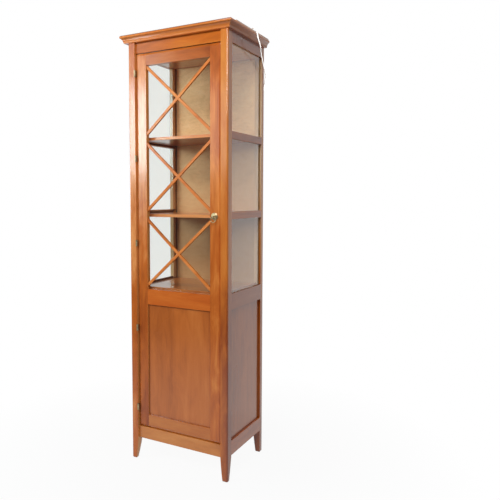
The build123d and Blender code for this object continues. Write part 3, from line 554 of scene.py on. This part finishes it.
# Painted highlight on the rear right jamb's front faces, from about 1 m upwards
wood_jamb_painted_light = make_wood(
    "wood_jamb_painted_light",
    "z",
    *POST_TONES,
    shift=1.9,
    height_tone_and_light=0.24,
    painted_corner_shade=0.0,
    painted_facing=PaintedFacing("Y", -0.4, -0.8, 0.9, (255, 220, 172), start=1.02),
)
wood_frieze = make_wood(
    "wood_frieze", "x", (150, 70, 14), (196, 101, 22), (222, 132, 40), shift=3.9, coat=0.5, painted_corner_shade=0.0
)
wood_across = make_wood("wood_across", "x", (144, 56, 14), (202, 95, 27), (222, 120, 42), shift=3.1, height_tone_and_light=-0.18)
wood_ends = make_wood(
    "wood_door_ends", "x", (136, 58, 18), (186, 96, 32), (208, 124, 54), shift=3.1, height_tone_and_light=-0.18, painted_corner_shade=0.0
)
wood_floor = make_wood("wood_deck_top", "x", (138, 62, 20), (190, 102, 40), (216, 134, 62), shift=3.1, height_tone_and_light=-0.18)
wood_deep = make_wood("wood_deep", "y", DARK, BODY, LIGHT, shift=5.3)
# Painted shade on the inner faces of the rear left post
wood_rear_painted_shade = make_wood(
    "wood_rear_painted_shade",
    "z",
    (124, 72, 24),
    (182, 116, 50),
    (206, 140, 70),
    shift=4.1,
    height_tone_and_light=0.1,
    painted_facing=PaintedFacing("X", 0.4, 0.8, 0.85, PAINTED_UNLIT_SHADE),
)
# Painted shade on the inner faces of the left rails and the left deck bead
wood_far_painted_shade = make_wood("wood_far_painted_shade", "y", DARK, BODY, LIGHT, shift=5.7, painted_facing=PaintedFacing("X", 0.4, 0.8, 0.8, PAINTED_UNLIT_SHADE))
wood_deck = make_wood("wood_deck_rail", "y", (138, 64, 20), (172, 86, 30), (190, 104, 44), shift=6.6)
# Painted shade on the cornice's upward faces
wood_cornice = make_wood(
    "wood_cornice",
    "x",
    (184, 90, 30),
    (210, 114, 44),
    (226, 140, 66),
    shift=6.4,
    painted_facing=PaintedFacing("Z", 0.1, 0.5, 0.85, (122, 62, 20)),
)
wood_crown = make_wood("wood_crown", "y", BODY, (216, 120, 46), LIGHT, shift=5.9, coat=0.6)
# Painted light: paler tones lift the shelves' shaded front edges; painted shade on their undersides
wood_shelf_painted_light_and_shade = make_wood(
    "wood_shelf_painted_light_and_shade",
    "x",
    (212, 114, 52),
    (244, 142, 74),
    (250, 168, 106),
    shift=2.7,
    coat=0.8,
    painted_facing=PaintedFacing("Z", -0.4, -0.8, 0.6, (112, 62, 36)),
)
wood_lattice = make_wood(
    "wood_lattice", "x", (172, 86, 30), (216, 122, 54), (238, 154, 80), rough=0.45, shift=8.2, coat=0.25
)
wood_panel = make_wood(
    "wood_panel", "z", (150, 72, 24), (194, 103, 40), (212, 122, 56), shift=7.7, figure=0.9, painted_rim_shade=0.5
)
wood_apron = make_wood("wood_apron", "x", (160, 86, 32), (206, 122, 54), (226, 146, 74), shift=9.4, painted_corner_shade=0.0)
wood_inside = make_wood("wood_inside", "x", (172, 120, 84), (222, 166, 122), (238, 186, 142), shift=2.2)
wood_bead = make_wood("wood_bead", "z", (184, 132, 84), (216, 166, 114), (232, 190, 140), rough=0.5, shift=4.6)
ply = make_ply()
glass = make_glass()
brass = make_metal("brass", (204, 184, 142), (146, 124, 86), 0.4)
steel = make_metal("steel", (206, 206, 204), (150, 150, 150), 0.28)
black_plastic = make_plastic("black_plastic", (38, 36, 35), 0.4, 0.2)
white_metal = make_plastic("white_metal", (226, 224, 218), 0.35)
white_plastic = make_plastic("white_plastic", (248, 247, 244), 0.38, 0.03)
tie_plastic = make_plastic("tie_plastic", (60, 60, 62), 0.45)
lens_plastic = make_plastic("lens_plastic", (236, 234, 226), 0.5)

finishes = {
    "post_front_left": wood_hinge_painted_light,
    "post_front_right": wood_post,
    "post_rear_left": wood_rear_painted_shade,
    "post_rear_right": wood_jamb_painted_light,
    "cornice_front": wood_cornice,
    "cornice_left": wood_crown,
    "cornice_right": wood_crown,
    "top_board": wood_inside,
    "top_rail_front": wood_frieze,
    "top_rail_rear": wood_across,
    "top_rail_left": wood_deep,
    "top_rail_right": wood_deep,
    "apron_front": wood_apron,
    "apron_rear": wood_across,
    "apron_left": wood_deep,
    "apron_right": wood_deep,
    "rail_deck_left": wood_far_painted_shade,
    "rail_deck_right": wood_deck,
    "rail_lower_left": wood_far_painted_shade,
    "rail_lower_right": wood_deep,
    "rail_upper_left": wood_far_painted_shade,
    "rail_upper_right": wood_deep,
    "side_panel_left": wood_panel,
    "side_panel_right": wood_panel,
    "side_glass_left": glass,
    "side_glass_right": glass,
    "glazing_beads_left": wood_bead,
    "glazing_beads_right": wood_bead,
    "ceiling_panel": wood_inside,
    "shelf_upper": wood_shelf_painted_light_and_shade,
    "shelf_lower": wood_shelf_painted_light_and_shade,
    "deck_board": wood_floor,
    "deck_bead_left": wood_far_painted_shade,
    "deck_bead_right": wood_deep,
    "bottom_board": wood_inside,
    "back_panel": ply,
    "catch_magnet": black_plastic,
    "catch_strike": steel,
    "door_stile_hinge": wood_hinge_painted_light,
    "door_stile_lock": wood_up,
    "door_rail_top": wood_ends,
    "door_rail_middle": wood_across,
    "door_rail_bottom": wood_ends,
    "door_panel": wood_panel,
    "door_glass": glass,
    "door_beads": wood_hinge_painted_light,
    "lattice_upper": wood_lattice,
    "lattice_middle": wood_lattice,
    "lattice_lower": wood_lattice,
    "hinge_leaves_door": brass,
    "hinge_leaves_post": brass,
    "hinge_pins": brass,
    "pull_rosette": brass,
    "pull_ring": brass,
    "lamp_body": white_metal,
    "lamp_lens": lens_plastic,
    "lamp_lead": white_plastic,
    "cord_gland": white_plastic,
    "cord_tie": tie_plastic,
    "plug": white_plastic,
}

# Corners closer than the first are one, and edges sharper than the angle are eased by the width
WELD_DISTANCE = 0.00002
EASED_WIDTH = 0.0007
EASED_SEGMENTS = 2
EASED_ANGLE = radians(35)


def ease_edges(piece):
    """Takes the sharpness off the edges of a wooden piece."""
    joined = piece.modifiers.new("joined", "WELD")
    joined.merge_threshold = WELD_DISTANCE
    eased = piece.modifiers.new("eased_edges", "BEVEL")
    eased.width = EASED_WIDTH
    eased.segments = EASED_SEGMENTS
    eased.limit_method = "ANGLE"
    eased.angle_limit = EASED_ANGLE


for name, material in finishes.items():
    piece = beads.get(name) or nodes[name]
    piece.data.materials.clear()
    piece.data.materials.append(material)
    if material.name.startswith("wood_"):
        ease_edges(piece)
lead.data.materials.append(white_plastic)


# Floor and background

FLOOR_REACH = 12
FLOOR_NEAR = (0.55, 0.55, 0.55, 1)
FLOOR_FAR = (0.2, 0.2, 0.2, 1)
WHITE = (1, 1, 1, 1)


def make_floor():
    """Matt floor that is white to the eye, but for a faint shadow close by, with a gloss of its own in the wood."""
    s = Shader(bpy.data.materials.new("pale_floor"))
    measure = s.node("ShaderNodeVectorMath", {"operation": "LENGTH"})
    s.feed(measure.inputs[0], s.stretched())
    away = measure.outputs["Value"]
    far = s.span(away, 0.4, 1.3, 0.0, 1.0)
    matt = s.node("ShaderNodeBsdfDiffuse", Color=s.mix(far, FLOOR_NEAR, FLOOR_FAR))
    ray = s.node("ShaderNodeLightPath").outputs
    seen = s.math("MAXIMUM", ray["Is Camera Ray"], ray["Is Transmission Ray"])
    spot = s.axes(s.stretched())
    behind = s.math("ADD", spot["Y"], s.math("MULTIPLY", spot["X"], 0.5))
    gloss = s.math("MAXIMUM", s.span(behind, -0.5, 0.9, 0.0, 1.0), s.span(away, 1.0, 2.8, 0.9, 0.12))
    gloss = s.math("MULTIPLY", ray["Is Glossy Ray"], gloss)
    white = s.node("ShaderNodeEmission", Color=WHITE, Strength=s.math("MAXIMUM", seen, gloss))
    bright = s.math("MULTIPLY", seen, s.span(far, 0.0, 1.0, 0.94, 1.0))
    bright = s.math("MAXIMUM", bright, ray["Is Glossy Ray"])
    return s.finish(s.mix_shaders(bright, matt.outputs[0], white.outputs[0]))


def make_world():
    """White to the eye, with a soft light of its own that comes mostly from behind."""
    s = Shader(bpy.data.worlds.new("studio"), "ShaderNodeOutputWorld")
    ray = s.node("ShaderNodeLightPath").outputs
    direction = s.axes(s.node("ShaderNodeTexCoord").outputs["Generated"])
    behind = s.span(direction["Y"], -0.43, 0.25, 0.10, 1.0)
    lofty = s.span(direction["Z"], 0.0, 0.2, 1.0, 0.84)
    seen = s.math("MAXIMUM", ray["Is Camera Ray"], ray["Is Transmission Ray"])
    glossy = s.math("MULTIPLY", ray["Is Glossy Ray"], behind)
    glossy = s.math("MULTIPLY", glossy, s.math("SUBTRACT", 1.0, seen))
    glossy = s.math("MULTIPLY", glossy, lofty)
    rest = s.math("SUBTRACT", 1.0, s.math("MAXIMUM", seen, ray["Is Glossy Ray"]))
    above = s.math("MULTIPLY", s.math("MAXIMUM", direction["Z"], 0.0), 0.15)
    ambient = s.math("MULTIPLY", rest, s.math("ADD", above, s.math("MULTIPLY", behind, 0.35)))
    strength = s.math("ADD", s.math("ADD", seen, glossy), ambient)
    return s.finish(s.node("ShaderNodeBackground", Color=WHITE, Strength=strength).outputs[0])


floor_corners = [(x * FLOOR_REACH, y * FLOOR_REACH, 0) for x, y in ((-1, -1), (1, -1), (1, 1), (-1, 1))]
floor = add_mesh("floor", floor_corners, [(0, 1, 2, 3)])
floor.data.materials.append(make_floor())
scene.world = make_world()


# Lamps

DAYLIGHT = (0.74, 0.93, 1.0)
PALE_CYAN = (0.5, 0.92, 1.0)


def softbox(name, spot, target, width, height, radiance, colour=(1, 1, 1)):
    """Rectangular lamp that faces a point, in m. Its power follows from how bright its face is."""
    data = bpy.data.lights.new(name, "AREA")
    data.shape = "RECTANGLE"
    data.size = width
    data.size_y = height
    data.energy = radiance * width * height * pi
    data.color = colour
    lamp = add_object(name, data)
    lamp.location = spot
    lamp.visible_camera = False
    lamp.rotation_mode = "QUATERNION"
    lamp.rotation_quaternion = (Vector(target) - Vector(spot)).to_track_quat("-Z", "Y")
    return lamp


key = softbox("key", (-2.94, -2.50, 1.98), (-0.2, -0.16, 1.5), 2.13, 0.95, 13.5, DAYLIGHT)
crown = softbox("crown", (-2.94, -2.50, 3.05), (-0.2, -0.16, 1.9), 2.13, 0.9, 2.4, DAYLIGHT)
spill = softbox("spill", (-1.75, -3.31, 1.98), (0, -0.16, 1.5), 1.5, 0.95, 1.8)
fill = softbox("fill", (0.6, -2.8, 3.4), (0, 0, 1.3), 1.6, 1.0, 15)
rim = softbox("rim", (2.6, -0.4, 2.3), (0.3, 0.1, 1.8), 1.2, 1.2, 24)
room = softbox("room", (1.7, -2.75, 1.95), (0.0, 0.15, 1.6), 1.2, 0.5, 11)
sheen = softbox("sheen", (-2.94, -2.5, 1.6), (-0.2, -0.18, 1.4), 1.6, 1.2, 3.0, PALE_CYAN)
margin = softbox("margin", (-0.5, -0.3, 1.4), (-0.2, 0.18, 1.4), 0.15, 1.2, 1.4)
bounce = softbox("bounce", (-0.95, -0.6, 1.35), (-0.25, -0.17, 1.93), 0.4, 0.4, 6, DAYLIGHT)


def linked(name, members, state="INCLUDE"):
    """Collection of what a lamp works on alone, or with EXCLUDE of what it leaves alone."""
    group = bpy.data.collections.new(name)
    for member in members:
        group.objects.link(member)
    for member in group.collection_objects:
        member.light_linking.link_state = state
    return group


panes = [nodes[name] for name in ("door_glass", "side_glass_left", "side_glass_right")]
cornice = nodes["cornice_front"]

# The key and spill lamps leave the panes alone, which would mirror them
all_but_panes = linked("lit_by_key", panes, "EXCLUDE")
key.light_linking.receiver_collection = all_but_panes
spill.light_linking.receiver_collection = all_but_panes

# The two lamps above throw no shadow of the cornice on the frieze, and the crown lamp doesn't pick out its nose
all_but_cornice = linked("cornice_passed", [cornice], "EXCLUDE")
crown.light_linking.receiver_collection = linked("lit_by_crown", [*panes, cornice], "EXCLUDE")
crown.light_linking.blocker_collection = all_but_cornice
fill.light_linking.blocker_collection = all_but_cornice

# One beside the key lamp carries the sheen further down the hinge stile
sheen.light_linking.receiver_collection = linked("lit_by_sheen", [nodes["door_stile_hinge"]])

# One at the right picks out the white lead alone
rim.light_linking.receiver_collection = linked("lit_by_rim", [lead])

# One low at the left gives the cornice's cove its sheen
bounce.light_linking.receiver_collection = linked("lit_by_bounce", [cornice])

# One in front reaches the inner back board alone
board_alone = linked("lit_by_room", [nodes["back_panel"]])
room.light_linking.receiver_collection = board_alone

# One close to the left lifts the board's margin, and only the floor can shade it
margin.light_linking.receiver_collection = board_alone
margin.light_linking.blocker_collection = linked("margin_blockers", [floor])


bpy.context.view_layer.update()
